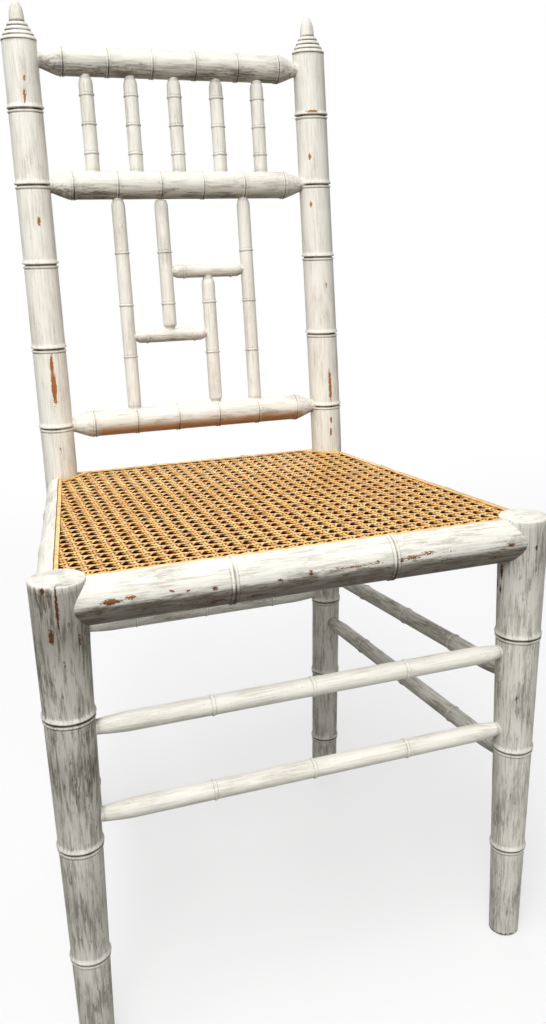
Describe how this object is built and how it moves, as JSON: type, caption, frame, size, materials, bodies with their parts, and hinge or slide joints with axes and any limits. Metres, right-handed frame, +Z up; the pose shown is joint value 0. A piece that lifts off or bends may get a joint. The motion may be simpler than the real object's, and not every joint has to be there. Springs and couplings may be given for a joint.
{
  "type": "side chair",
  "caption": "Upright side chair of turned, ringed wood in peeling white paint, with a fretted spindle back, round stretchers and a woven cane seat.",
  "frame": {"origin": "on the floor, under the middle of the chair's box", "axes": "+Z up, -Y the way the chair faces, +X to the right as seen from the front"},
  "size_m": [0.452, 0.4256, 0.912],
  "materials": {
    "painted_wood": "chalky off-white paint, streaked and chipped to bare wood",
    "woven_cane": "split cane, satin",
    "cane_binder": "flat cane strip, satin"
  },
  "bodies": {
    "root": {"back_post_left": "painted_wood", "front_leg_left": "painted_wood", "back_post_right": "painted_wood", "front_leg_right": "painted_wood", "lower_rail": "painted_wood", "middle_rail": "painted_wood", "top_rail": "painted_wood", "gallery_spindle_1": "painted_wood", "gallery_spindle_2": "painted_wood", "gallery_spindle_3": "painted_wood", "gallery_spindle_4": "painted_wood", "gallery_spindle_5": "painted_wood", "fret_bar_upper": "painted_wood", "fret_bar_lower": "painted_wood", "fret_spindle_1": "painted_wood", "fret_spindle_2": "painted_wood", "fret_spindle_3": "painted_wood", "fret_spindle_4": "painted_wood", "seat_rail_front": "painted_wood", "seat_rail_left": "painted_wood", "seat_rail_right": "painted_wood", "seat_rail_rear": "painted_wood", "front_stretcher_upper": "painted_wood", "front_stretcher_lower": "painted_wood", "side_stretcher_left_upper": "painted_wood", "side_stretcher_left_lower": "painted_wood", "side_stretcher_right_upper": "painted_wood", "side_stretcher_right_lower": "painted_wood", "rear_stretcher": "painted_wood", "cane_panel": "woven_cane", "cane_binder_front": "cane_binder", "cane_binder_right": "cane_binder", "cane_binder_rear": "cane_binder", "cane_binder_left": "cane_binder", "cane_binder_rear_left_corner": "cane_binder", "cane_binder_rear_right_corner": "cane_binder"}
  },
  "joints": []
}
